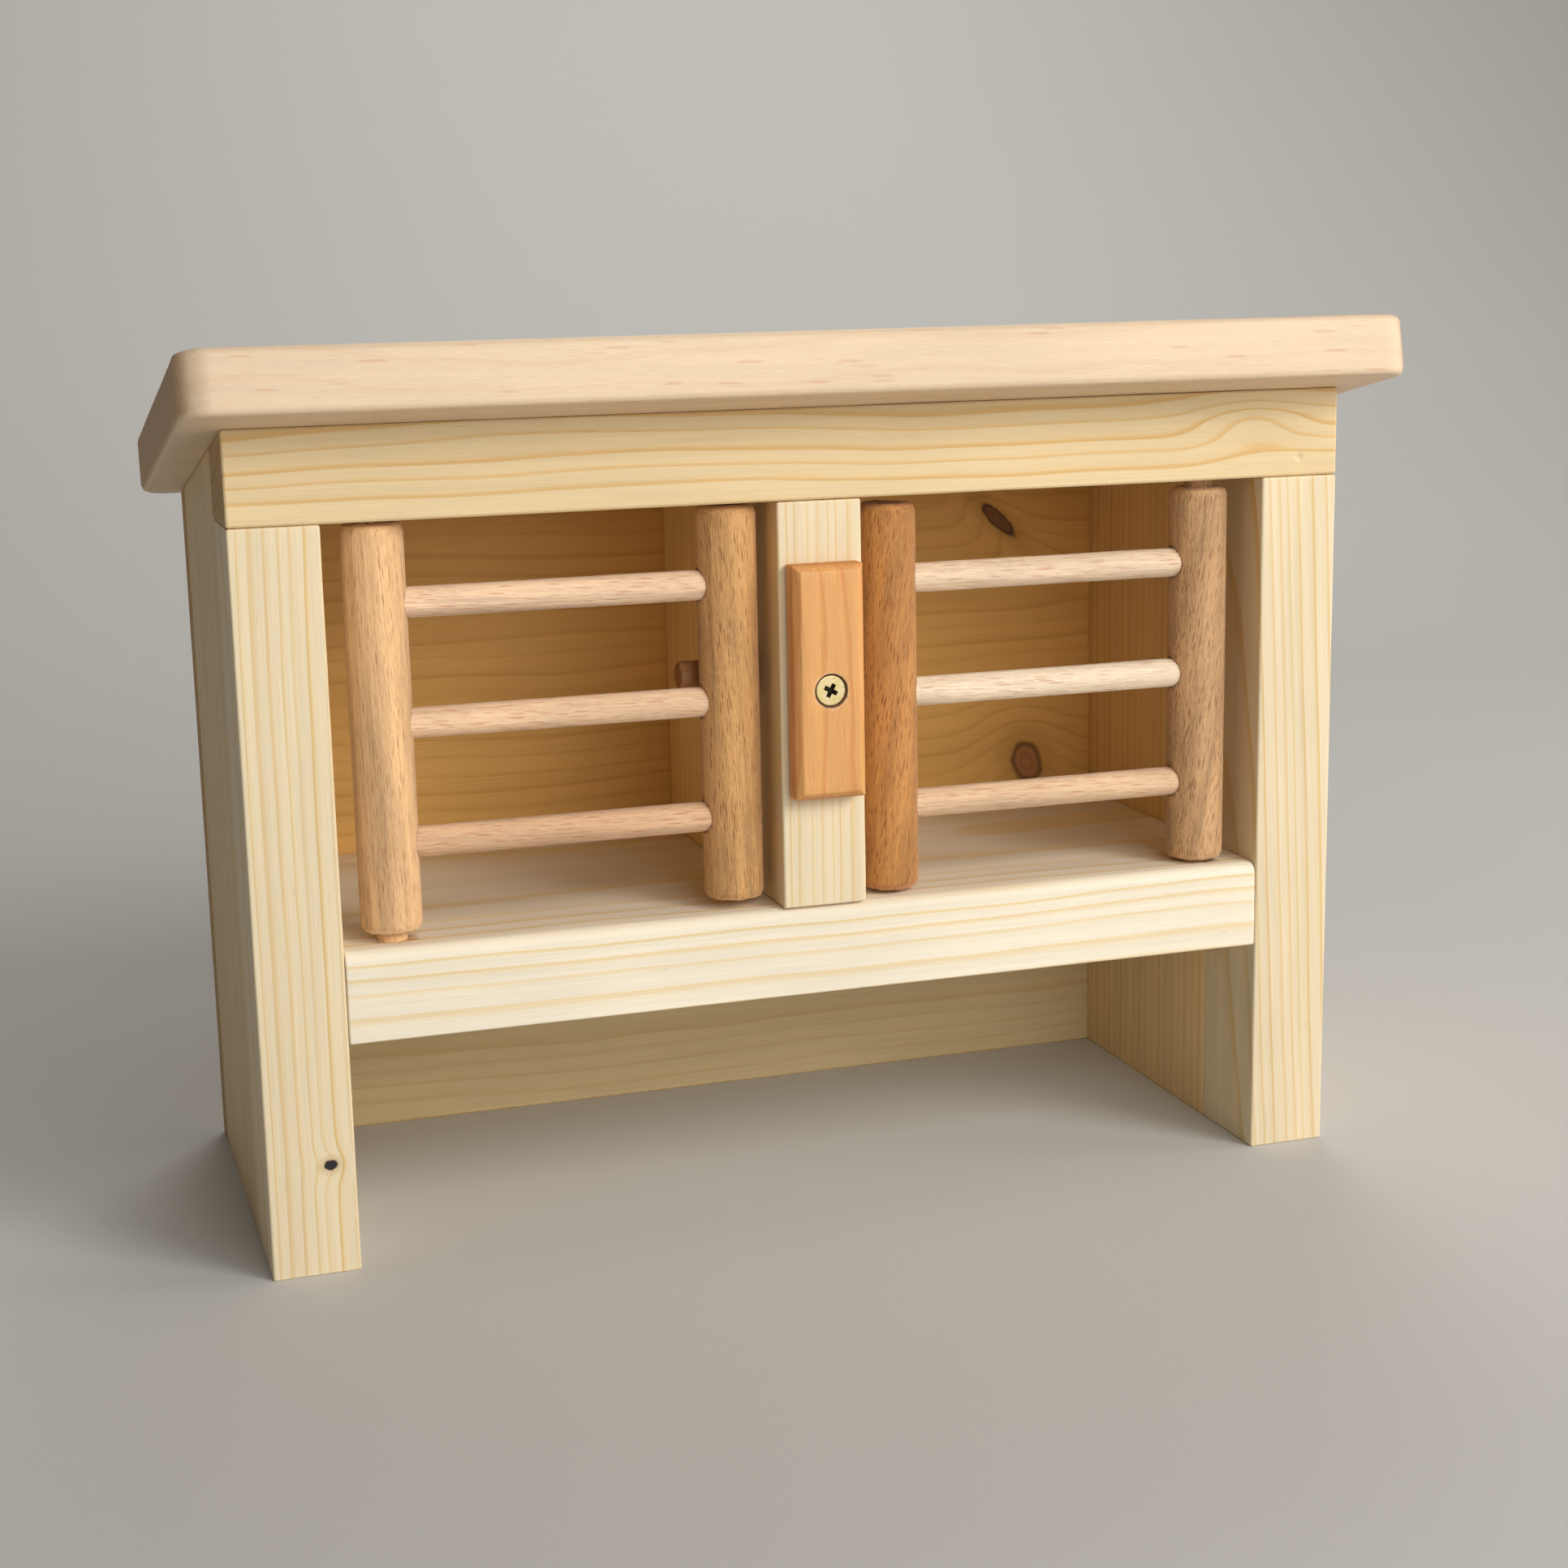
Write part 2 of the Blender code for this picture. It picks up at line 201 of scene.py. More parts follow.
    def edge_nearness(self, low, high, reach):
        """1 on the edges of the box from low to high, 0 beyond reach, broken up by fine noise."""
        from_low = self.vector("SUBTRACT", self.place, tuple(low))
        from_high = self.vector("SUBTRACT", tuple(high), self.place)
        x, y, z = self.split(self.vector("MINIMUM", from_low, from_high))
        smaller = self.math("MINIMUM", x, y)
        larger = self.math("MAXIMUM", x, y)
        middle = self.math("MAXIMUM", smaller, self.math("MINIMUM", larger, z))
        ragged = self.noise(self.vector("MULTIPLY", self.place, (230.0, 230.0, 230.0)), 3.0)
        return self.step(self.total(middle, self.times(ragged, reach * 1.6)), reach, 0.0)

    def end_grain(self, axis):
        """1 on faces cut across the grain, 0 on faces along it."""
        component = self.split(self.normal)[AXES[axis]]
        return self.step(self.math("ABSOLUTE", component), 0.55, 0.9)

    def squares(self, a, b):
        return self.total(self.times(a, a), self.times(b, b))

    def shaded(self, colour, shade):
        return self.mix(1.0, colour, self.join(shade, shade, shade), "MULTIPLY")


def scaled(colour, factor, lift=0.0):
    """A plain colour made darker or lighter, and never above white."""
    return tuple(min(1.0, part * factor + lift) for part in colour)


# ---------------------------------------------------------------- wood
PINE_END = (0.52, 0.35, 0.19)        # end grain darkens by these
HARDWOOD_END = (0.62, 0.46, 0.31)


def growth_rings(g, grain, centre_u, centre_v, ring, pith, warp, seed):
    """Ring number at every point: it rises by one from each year's ring to the next."""
    u, v, w = grain
    slow = g.noise(g.stretched(u, v, w, 0.045, 0.15, seed), 2.0)
    slow_too = g.noise(g.stretched(u, v, w, 0.045, 0.15, seed + 7), 2.0)
    quick = g.noise(g.stretched(u, v, w, 0.006, 0.040, seed + 3), 2.0)
    across = g.total(u, -centre_u - pith[0], g.times(slow, 2 * warp), g.times(quick, 0.5 * MM))
    deep = g.total(v, -centre_v - pith[1], g.times(slow_too, 2 * warp))
    radius = g.math("SQRT", g.squares(across, deep))
    uneven = g.noise(g.join(g.times(radius, 1 / (3.1 * ring)), seed, 0.0), 2.0)
    return g.total(g.times(radius, 1 / ring), g.times(uneven, 2.4))


def grow_knots(g, rings, knots, seed):
    """The rings bent round each knot, and the knots' colour, their cover and the bruise round them.

    A knot is (x, z, half width, height to width, lean, pull on the rings, colour of its heart).
    """
    x, y, z = g.split(g.place)
    colour, cover, bruise = None, 0.0, 0.0
    for spot_x, spot_z, size, tall, lean, pull, heart in knots:
        off_z = g.total(z, -spot_z)
        away_x = g.times(g.total(x, -spot_x, g.times(off_z, lean)), 1 / size)
        away_z = g.times(off_z, 1 / (size * tall))
        wobble = g.noise(g.stretched(x, y, z, size * 0.9, size * 0.9, seed + 5), 3.0)
        away = g.total(g.math("SQRT", g.squares(away_x, away_z)), g.times(wobble, 0.45))
        fall = g.math("POWER", math.e, g.times(away, away, -0.11))
        rings = g.total(rings, g.times(fall, pull))
        core = g.step(away, 1.18, 0.82)
        knot_rings = g.math("PINGPONG", g.times(away, 2.6), 1.0)
        spot = g.mix(knot_rings, scaled(heart, 1.35), heart)
        spot = g.mix(g.step(away, 0.60, 0.90), spot, scaled(heart, 0.50))
        colour = spot if colour is None else g.mix(core, colour, spot)
        cover = g.math("MAXIMUM", cover, core)
        bruise = g.math("MAXIMUM", bruise, g.step(away, 2.6, 1.0))
    return rings, colour, cover, bruise


def grow_swirl(g, rings, spot_x, spot_z, size, pull):
    """The rings bent as they are beside a knot that was sawn away."""
    x, y, z = g.split(g.place)
    away_x = g.times(g.total(x, -spot_x), 1 / (2.2 * size))
    away_z = g.times(g.total(z, -spot_z), 1 / size)
    away = g.squares(away_x, away_z)
    return g.total(rings, g.times(g.math("POWER", math.e, g.times(away, -1.0)), pull))


def pine(name, axis, box, early, late, seed, ring=2.9 * MM, pith=(0.09, 0.012), warp=1.5 * MM,
         slant=0.0, knots=(), swirl=None, contrast=1.0, under=None, outside=None):
    """Softwood sawn from a trunk: rings about a pith line, so every face shows its own cut.

    early and late are the colours of spring and summer growth. under is for a panel glued up from
    two boards: the joint's height and the lower board's palette. outside is the back panel's own
    palette behind its inner face, whose early and late colours are darker and warmer as painted
    shade of the box's interior.
    """
    g = Graph(name)
    low, high = box
    centre = (low + high) / 2
    grain = g.along_grain(axis, seed, slant)
    u, v, w = grain
    centre_u, centre_v = {"X": (centre.z, centre.y), "Y": (centre.x, centre.z),
                          "Z": (centre.x, centre.y)}[axis]
    x, y, z = g.split(g.place)
    rings = growth_rings(g, grain, centre_u, centre_v, ring, pith, warp, seed)
    rings, knot_colour, knot_cover, bruise = grow_knots(g, rings, knots, seed)
    if swirl:
        rings = grow_swirl(g, rings, *swirl)

    board_early, board_late = early, late
    # Painted shade: the back panel's inner face keeps the darker, warmer early and late colours for
    # the box's shaded interior, and the board's own colour lies behind it.
    if outside:
        behind = g.step(y, low.y + 0.4 * MM, low.y + 2.4 * MM)
        board_early = g.mix(behind, early, outside[0])
        board_late = g.mix(behind, late, outside[1])
    if under:
        joint, (lower_early, lower_late) = under
        below = g.step(z, joint + 0.05 * MM, joint - 0.05 * MM)
        rings = g.total(rings, g.times(below, 3.4))
        board_early = g.mix(below, board_early, lower_early)
        board_late = g.mix(below, board_late, lower_late)
    phase = g.math("FRACT", rings)
    slow_start = g.times(g.step(phase, 0.15, 0.95), 0.25)
    late_line = g.times(g.step(phase, 0.62, 0.90), 0.80)
    grown = g.times(g.total(slow_start, late_line), g.step(phase, 1.0, 0.92))
    each = g.total(0.45, g.times(g.random(g.math("FLOOR", rings)), 0.60))
    dark = g.times(grown, each, contrast)

    fibre = g.noise(g.stretched(u, v, w, 0.55 * MM, 28 * MM, seed + 1), 3.0, 0.6)
    broad = g.noise(g.stretched(u, v, w, 5 * MM, 160 * MM, seed + 2), 2.0)
    blotch = g.noise(g.stretched(u, v, w, 0.030, 0.060, seed + 4), 2.0)
    colour = g.mix(dark, board_early, board_late)
    colour = g.shaded(colour, g.total(1.0, g.times(fibre, 0.20), g.times(broad, 0.20),
                                      g.times(blotch, 0.18)))
    resin = g.step(g.noise(g.stretched(u, v, w, 1.1 * MM, 9 * MM, seed + 9), 1.0), 0.25, 0.33)
    colour = g.mix(g.times(resin, 0.30), colour, scaled(late, 0.85))
    ends = g.end_grain(axis)
    colour = g.mix(g.times(ends, 0.62), colour, PINE_END, "MULTIPLY")
    if knots:
        colour = g.mix(g.times(bruise, 0.45), colour, scaled(late, 0.75))
        colour = g.mix(knot_cover, colour, knot_colour)
    # Lighter near the edges: partly worn, partly a painted highlight on the eased edges.
    edge_wear_and_highlight = g.edge_nearness(low, high, 1.3 * MM)
    colour = g.mix(g.times(edge_wear_and_highlight, 0.30), colour, scaled(early, 1.12))
    g.put(colour, g.shader.inputs["Base Color"])

    rough = g.total(0.56, g.times(fibre, 0.22), g.times(dark, -0.07), g.times(ends, 0.18))
    g.put(rough, g.shader.inputs["Roughness"])
    g.shader.inputs["Specular IOR Level"].default_value = 0.38
    saw = g.noise(g.join(g.times(u, 60.0), g.times(v, 60.0), g.times(w, 420.0)), 1.0)
    height = g.total(g.times(fibre, 0.55), g.times(dark, 0.22), g.times(saw, 0.10),
                     g.times(knot_cover, -0.9), g.times(resin, -0.25))
    g.bump(height, 0.16 * MM, 0.9)
    return g.material


def beech_flecks(g, grain, wide, long, share, seed):
    """Dark flecks, their own strength and the pale flecks between them."""
    u, v, w = grain
    far, own = g.cells(g.stretched(u, v, w, wide, long, seed + 6))
    long_flecks = g.times(g.step(far, 0.40, 0.20), g.step(own, 1 - share, 1.12 - share))
    near, lot = g.cells(g.stretched(u, v, w, wide * 0.42, long * 0.55, seed + 8))
    short_flecks = g.times(g.step(near, 0.46, 0.12), g.step(lot, 0.90 - share, 1.05 - share))
    strength = g.total(0.35, g.times(own, 0.65))
    dark = g.math("MAXIMUM", g.times(long_flecks, strength), g.times(short_flecks, 0.45))
    pale, draw = g.cells(g.stretched(u, v, w, wide * 0.60, long * 0.50, seed + 13))
    return dark, g.times(g.step(pale, 0.40, 0.15), g.step(draw, 0.45, 0.60))


def faint_growth(g, grain, colour, base, spacing, strength, seed):
    u, v, w = grain
    bend = g.noise(g.stretched(u, v, w, 0.050, 0.110, seed + 15), 2.0)
    depth = g.total(g.times(v, 0.55), u, g.times(bend, 0.030))
    phase = g.math("FRACT", g.times(depth, 1 / spacing))
    line = g.times(g.step(phase, 0.70, 0.92), g.step(phase, 1.0, 0.93))
    darker = (base[0] * 0.86, base[1] * 0.62, base[2] * 0.5)
    return g.mix(g.times(line, strength), colour, darker)


def torn_rims(g, grain, axis, levels, seed):
    """1 at the frayed rims of a turned piece, which lie at the two levels along it."""
    u, v, w = grain
    along = g.split(g.place)[AXES[axis]]
    from_first = g.total(along, -levels[0])
    to_last = g.total(levels[1], g.times(along, -1.0))
    nearest = g.math("MINIMUM", from_first, to_last)
    torn = g.noise(g.stretched(u, v, w, 0.5 * MM, 1.6 * MM, seed + 17), 2.0)
    return g.step(g.total(nearest, g.times(torn, 3.0 * MM)), 1.9 * MM, 0.6 * MM)


def chipped_hole(g, colour, hole_x, hole_z, hole_r):
    """Pale chips round a screw's hole, and painted shade darkening the gap round the screw."""
    x, y, z = g.split(g.place)
    out = g.math("SQRT", g.squares(g.total(x, -hole_x), g.total(z, -hole_z)))
    ragged = g.noise(g.vector("MULTIPLY", g.place, (900.0, 900.0, 900.0)), 2.0)
    chips = g.total(out, g.times(ragged, 2.2 * MM))
    rim = g.step(chips, hole_r + 1.15 * MM, hole_r + 0.85 * MM)
    colour = g.mix(g.times(rim, 0.35), colour, (0.84, 0.60, 0.36))
    # Painted shade: the gap round the screw head is darkened.
    gap = g.total(out, g.times(ragged, 0.5 * MM))
    gap_shade = g.step(gap, hole_r + 0.80 * MM, hole_r + 0.45 * MM)
    return g.mix(g.times(gap_shade, 0.92), colour, (0.13, 0.05, 0.018))


def hardwood(name, axis, box, base, seed, fleck=0.55, fleck_wide=0.75 * MM, fleck_long=6.5 * MM,
             share=0.80, slant=0.06, gloss=0.5, streak=0.22, chips=None, red=0.0, wear_and_highlight=0.26,
             ends_at=None, growth=None, fuzzy=0.0):
    """Fine-grained hardwood with short dark flecks lying along the grain.

    fleck is the flecks' strength, share how many there are and red how warm they are. ends_at
    gives the two heights of a turned piece's frayed rims, growth the spacing and strength of faint
    growth lines, chips the place and radius of a screw's hole, and fuzzy the raised fibres.
    """
    g = Graph(name)
    low, high = box
    grain = g.along_grain(axis, seed, slant)
    u, v, w = grain
    fibre = g.noise(g.stretched(u, v, w, 0.45 * MM, 16 * MM, seed), 3.0, 0.62)
    broad = g.noise(g.stretched(u, v, w, 3.4 * MM, 90 * MM, seed + 2), 2.0)
    blotch = g.noise(g.stretched(u, v, w, 0.016, 0.040, seed + 4), 2.0)

    flecks, pale_flecks = beech_flecks(g, grain, fleck_wide, fleck_long, share, seed)
    colour = g.shaded(base, g.total(1.0, g.times(fibre, streak), g.times(broad, streak * 1.1),
                                    g.times(blotch, streak * 0.8)))
    colour = g.mix(g.times(pale_flecks, fleck * 0.55), colour, scaled(base, 1.35, 0.03))
    fleck_colour = (base[0] * (0.52 + red), base[1] * 0.40, base[2] * 0.34)
    colour = g.mix(g.times(flecks, fleck), colour, fleck_colour)
    ends = g.end_grain(axis)
    colour = g.mix(g.times(ends, 0.55), colour, HARDWOOD_END, "MULTIPLY")
    if growth:
        colour = faint_growth(g, grain, colour, base, *growth, seed)
    if ends_at:
        edge_wear_and_highlight = torn_rims(g, grain, axis, ends_at, seed)
    else:
        edge_wear_and_highlight = g.edge_nearness(low, high, 1.2 * MM)
    # Lighter at the edges and torn rims: partly worn and frayed, partly a painted highlight.
    colour = g.mix(g.times(edge_wear_and_highlight, wear_and_highlight), colour, scaled(base, 1.22, 0.03))
    if chips:
        colour = chipped_hole(g, colour, *chips)
    g.put(colour, g.shader.inputs["Base Color"])

    rough = g.total(gloss, g.times(fibre, 0.20), g.times(flecks, 0.10), g.times(ends, 0.20))
    g.put(rough, g.shader.inputs["Roughness"])
    g.shader.inputs["Specular IOR Level"].default_value = 0.40
    g.shader.inputs["Sheen Weight"].default_value = fuzzy
    g.shader.inputs["Sheen Roughness"].default_value = 0.45
    g.shader.inputs["Sheen Tint"].default_value = (1.0, 0.93, 0.84, 1.0)
    fuzz = g.noise(g.stretched(u, v, w, 0.22 * MM, 2.2 * MM, seed + 11), 2.0)
    height = g.total(g.times(fibre, 0.5), g.times(flecks, -0.35), g.times(fuzz, 0.35))
    g.bump(height, (0.13 + 0.75 * fuzzy) * MM, 0.9)
    return g.material


def zinc(name, seed, head_y, outward, base=(0.76, 0.63, 0.30)):
    """Yellow zinc plate, mottled on the head, with painted shade darkening its driver recess, which
    is also duller.
    """
    g = Graph(name)
    depth = g.times(g.total(g.split(g.place)[1], -head_y), -outward)
    recess_shade = g.step(depth, 0.10 * MM, 0.55 * MM)
    where = g.vector("MULTIPLY", g.place, (1500.0, 1500.0, 1500.0))
    mottle = g.noise(g.vector("ADD", where, (seed, 0.0, 0.0)), 3.0)
    cloud = g.noise(g.vector("MULTIPLY", g.place, (420.0, 420.0, 420.0)), 2.0)
    colour = g.mix(g.step(cloud, -0.12, 0.15), base, (0.80, 0.68, 0.42))
    colour = g.mix(g.step(mottle, 0.10, 0.24), colour, (0.42, 0.34, 0.20))
    # Painted shade: the recess is darkened where shade falls in it.
    colour = g.mix(g.times(recess_shade, 0.95), colour, (0.035, 0.028, 0.018))
    g.put(colour, g.shader.inputs["Base Color"])
    g.shader.inputs["Metallic"].default_value = 1.0
    rough = g.total(0.60, g.times(mottle, 0.30), g.times(cloud, 0.12), g.times(recess_shade, 0.25))
    g.put(rough, g.shader.inputs["Roughness"])
    g.bump(mottle, 0.04 * MM, 0.3)
    return g.material


# ---------------------------------------------------------------- meshes
def drift(point, size, seed):
    """A smooth random number for a point, with features about size metres wide."""
    return noise.noise(point / size + Vector((seed, seed * 0.37, seed * 0.71)))


def slice_mesh(bm, axis, place):
    direction = Vector((0, 0, 0))
    direction[axis] = 1.0
    everything = bm.verts[:] + bm.edges[:] + bm.faces[:]
    bmesh.ops.bisect_plane(bm, geom=everything, plane_co=direction * place, plane_no=direction)


def mesh_box(mesh):
    corners = [vertex.co for vertex in mesh.vertices]
    low = Vector([min(corner[axis] for corner in corners) for axis in range(3)])
    high = Vector([max(corner[axis] for corner in corners) for axis in range(3)])
    return low, high


def finer(node, spacing, uneven, seed, tilt=None, dents=(), swell=0.0, fray=None):
    """The CAD node's solid cut into a fine mesh, its faces and edges slightly uneven.

    dents are (point, radius, depth). swell closes most of a glue line, and fray gives the two
    heights of a turned piece's torn rims.
    """
    bm = bmesh.new()
    bm.from_mesh(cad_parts[node].data)
    bmesh.ops.remove_doubles(bm, verts=bm.verts[:], dist=CAD_MERGE)
    if tilt:
        bmesh.ops.transform(bm, matrix=tilt.inverted(), verts=bm.verts[:])
    bmesh.ops.dissolve_limit(bm, angle_limit=math.radians(1.0), verts=bm.verts[:],
                             edges=bm.edges[:])
    low = Vector([min(vertex.co[axis] for vertex in bm.verts) for axis in range(3)])
    high = Vector([max(vertex.co[axis] for vertex in bm.verts) for axis in range(3)])
    for axis in range(3):
        count = max(1, round((high[axis] - low[axis]) / spacing))
        for number in range(1, count):
            slice_mesh(bm, axis, low[axis] + (high[axis] - low[axis]) * number / count)
        for point, size, depth in dents:
            for number in range(-3, 4):
                slice_mesh(bm, axis, point[axis] + size * number / 3)
    bm.normal_update()
    moves = []
    for vertex in bm.verts:
        slow = drift(vertex.co, SLOW_WAVE, seed)
        quick = drift(vertex.co, QUICK_WAVE, seed + 20)
        push = swell + uneven * (slow * 0.8 + quick * 0.6)
        if fray:
            near = min(abs(vertex.co.z - level) for level in fray)
            torn = drift(vertex.co, FRAY_GRAIN, seed)
            push += FRAY_DEPTH * max(0.0, 1 - near / FRAY_REACH) * torn
        for point, size, depth in dents:
            away = (vertex.co - point).length / size
            push -= depth * max(0.0, 1 - away * away)
        moves.append(vertex.normal * push)
    for vertex, move in zip(bm.verts, moves):
        vertex.co += move
    mesh = bpy.data.meshes.new(node + "_wood")
    bm.to_mesh(mesh)
    bm.free()
    return mesh


def show(name, mesh, body, nodes, material, matrix=None, smooth=True):
    """Put a mesh in the scene as the piece that stands for some CAD nodes."""
    for polygon in mesh.polygons:
        polygon.use_smooth = smooth
    mesh.materials.clear()
    mesh.materials.append(material)
    piece = bpy.data.objects.new(name, mesh)
    bpy.context.scene.collection.objects.link(piece)
    if matrix:
        piece.matrix_world = matrix
    if smooth:
        weighted = piece.modifiers.new("even_shading", "WEIGHTED_NORMAL")
        weighted.weight = SHADING_WEIGHT
    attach(piece, body)
    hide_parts(*nodes)


# ---------------------------------------------------------------- roof board
def make_roof():
    tilt = Matrix.Rotation(ROOF_TILT, 4, "X")
    mesh = finer("roof", 7 * MM, 0.10 * MM, 3.0, tilt=tilt, swell=GLUE_FILL)
    material = hardwood("roof_wood", "X", mesh_box(mesh), (0.79, 0.605, 0.415), 1.0, fleck=0.30,
                        fleck_wide=1.3 * MM, fleck_long=12 * MM, share=0.25, slant=0.02,
                        gloss=0.52, streak=0.16, red=0.25, growth=(9 * MM, 0.15))
    show("roof_wood", mesh, "carcass", ["roof"], material, tilt)


# ---------------------------------------------------------------- pine boards
# Palettes: the colours of early and late growth.
HONEY = ((0.775, 0.605, 0.35), (0.68, 0.41, 0.125))
CREAM = ((0.815, 0.69, 0.475), (0.74, 0.51, 0.205))
SNOW = ((0.91, 0.825, 0.665), (0.84, 0.62, 0.28))
# The amber palette is the back panel's inner face, darker and warmer as painted shade of the box's
# interior.
INNER_SHADE_AMBER = ((0.86, 0.515, 0.155), (0.68, 0.35, 0.075))
GOLD = ((0.95, 0.715, 0.35), (0.82, 0.50, 0.18))
WHEAT = ((0.79, 0.595, 0.315), (0.68, 0.42, 0.145))
STRAW = ((0.74, 0.58, 0.325), (0.65, 0.44, 0.18))
ROSE = ((0.82, 0.60, 0.32), (0.70, 0.42, 0.14))
PIN_KNOT = (0.018, 0.014, 0.018)
KNOT = (0.38, 0.175, 0.060)
DARK_KNOT = (0.20, 0.090, 0.032)


def make_board(node, axis, palette, seed, spacing=7 * MM, dents=(), **wood):
    mesh = finer(node, spacing, 0.10 * MM, seed, dents=dents, swell=GLUE_FILL)
    material = pine(node + "_wood", axis, mesh_box(mesh), *palette, seed, **wood)
    show(node + "_wood", mesh, "carcass", [node], material)


def make_boards():
    nick = Vector((rail_high.x - 11.5 * MM, FRONT, rail_low.z + 5 * MM))
    make_board("top_rail", "X", HONEY, 2.0, pith=(0.048, 0.022), ring=3.7 * MM, warp=4.4 * MM,
               dents=[(nick, 1.4 * MM, 0.5 * MM)], contrast=0.8,
               swirl=(rail_high.x - 26 * MM, rail_low.z + 15 * MM, 7 * MM, 1.6))
    make_board("shelf", "X", SNOW, 3.0, pith=(-0.0925, 0.010), ring=3.9 * MM, warp=3.6 * MM,
               contrast=0.9)
    pin_knot = (stile_low.x + 16.2 * MM, stile_low.z + 29.5 * MM, 1.75 * MM, 0.8, 0.0, 0.6,
                PIN_KNOT)
    make_board("stile_left", "Z", CREAM, 4.0, ring=3.3 * MM, pith=(0.070, 0.006), warp=2.0 * MM,
               knots=[pin_knot])
    make_board("stile_right", "Z", CREAM, 5.0, ring=3.3 * MM, pith=(-0.085, 0.010), slant=0.05)
    make_board("stile_centre", "Z", CREAM, 6.0, ring=2.9 * MM, pith=(0.080, -0.012),
               contrast=0.8)
    make_board("side_left", "Z", HONEY, 7.0, ring=4.2 * MM, pith=(0.030, 0.110), warp=2.4 * MM)
    make_board("side_right", "Z", ROSE, 8.0, ring=4.4 * MM, pith=(-0.035, 0.100), warp=2.4 * MM,
               contrast=0.7)
    make_board("divider", "Z", GOLD, 9.0, ring=4.1 * MM, pith=(0.030, 0.090), warp=2.0 * MM,
               contrast=0.7)
    upper_knot = (panel_high.x - 54.0 * MM, 173.7 * MM, 3.2 * MM, 1.7, 0.9, 1.6, DARK_KNOT)
    lower_knot = (panel_high.x - 44.4 * MM, 95.5 * MM, 5.2 * MM, 1.25, 0.15, 2.2, KNOT)
    # The amber palette on the inner face is painted shade of the box's interior; WHEAT is the
    # board's own colour behind that face.
    make_board("back_panel", "X", INNER_SHADE_AMBER, 10.0, ring=5.2 * MM, pith=(0.130, 0.040),
               warp=8.0 * MM, knots=[upper_knot, lower_knot], contrast=0.60,
               under=(SHELF_MIDDLE, STRAW), outside=WHEAT)


# ---------------------------------------------------------------- doors
DOWEL_LOOKS = {                      # base colour, strength of the flecks
    "door_left_hinge_dowel": ((0.79, 0.49, 0.245), 0.62),
    "door_left_closing_dowel": ((0.665, 0.365, 0.137), 0.95),
    "door_right_closing_dowel": ((0.50, 0.225, 0.060), 1.0),
    "door_right_hinge_dowel": ((0.58, 0.345, 0.165), 1.0),
}
RUNG_TONES = {
    "left": ((0.83, 0.59, 0.395), (0.84, 0.58, 0.37), (0.74, 0.47, 0.28)),
    "right": ((0.85, 0.65, 0.455), (0.90, 0.735, 0.54), (0.78, 0.54, 0.34)),
}


def make_doors():
    seed = 20.0
    for side in SIDES:
        body = side + "_door"
        closing_low, closing_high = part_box("door_" + side + "_closing_dowel")
        rims = (closing_low.z, closing_high.z)
        for part in ("hinge_dowel", "closing_dowel"):
            node = "door_" + side + "_" + part
            seed += 1.0
            base, fleck = DOWEL_LOOKS[node]
            mesh = finer(node, 2.2 * MM, 0.09 * MM, seed, fray=rims)
            slant = -0.16 if side == "right" else 0.05
            material = hardwood(node + "_wood", "Z", mesh_box(mesh), base, seed, fleck=fleck,
                                fleck_wide=0.62 * MM, fleck_long=5.6 * MM, share=0.92,
                                red=0.06, streak=0.80, gloss=0.60, slant=slant,
                                ends_at=rims, wear_and_highlight=0.45, fuzzy=0.22)
            show(node + "_wood", mesh, body, [node], material)
        for number, tone in enumerate(reversed(RUNG_TONES[side]), 1):
            node = "door_" + side + "_rung_" + str(number)
            seed += 1.0
            mesh = finer(node, 3.0 * MM, 0.08 * MM, seed)
            material = hardwood(node + "_wood", "X", mesh_box(mesh), tone, seed, fleck=0.62,
                                fleck_wide=0.62 * MM, fleck_long=7.5 * MM, slant=0.04, red=0.20,
                                gloss=0.68, streak=0.60, wear_and_highlight=0.0, fuzzy=0.25)
            show(node + "_wood", mesh, body, [node], material)


def make_stop():
    mesh = finer("door_stop", 3.0 * MM, 0.06 * MM, 40.0)
    material = hardwood("door_stop_wood", "X", mesh_box(mesh), (0.50, 0.25, 0.095), 40.0,
                        fleck=0.5, gloss=0.6)
    show("door_stop_wood", mesh, "carcass", ["door_stop"], material)


# ---------------------------------------------------------------- turn button and screws
def make_latch():
    mesh = finer("latch", 4.0 * MM, 0.05 * MM, 50.0)
    # The latch's strong lightening at its chamfers is mostly a painted highlight.
    material = hardwood("latch_wood", "Z", mesh_box(mesh), (0.76, 0.385, 0.135), 50.0, fleck=0.16,
                        fleck_wide=1.0 * MM, fleck_long=9 * MM, share=0.5, slant=0.03,
                        gloss=0.42, streak=0.30, red=0.30, wear_and_highlight=0.60, growth=(8.6 * MM, 0.55),
                        chips=(SCREW_AXIS.x, SCREW_AXIS.z, HEAD_R))
    show("latch_wood", mesh, "latch", ["latch"], material)


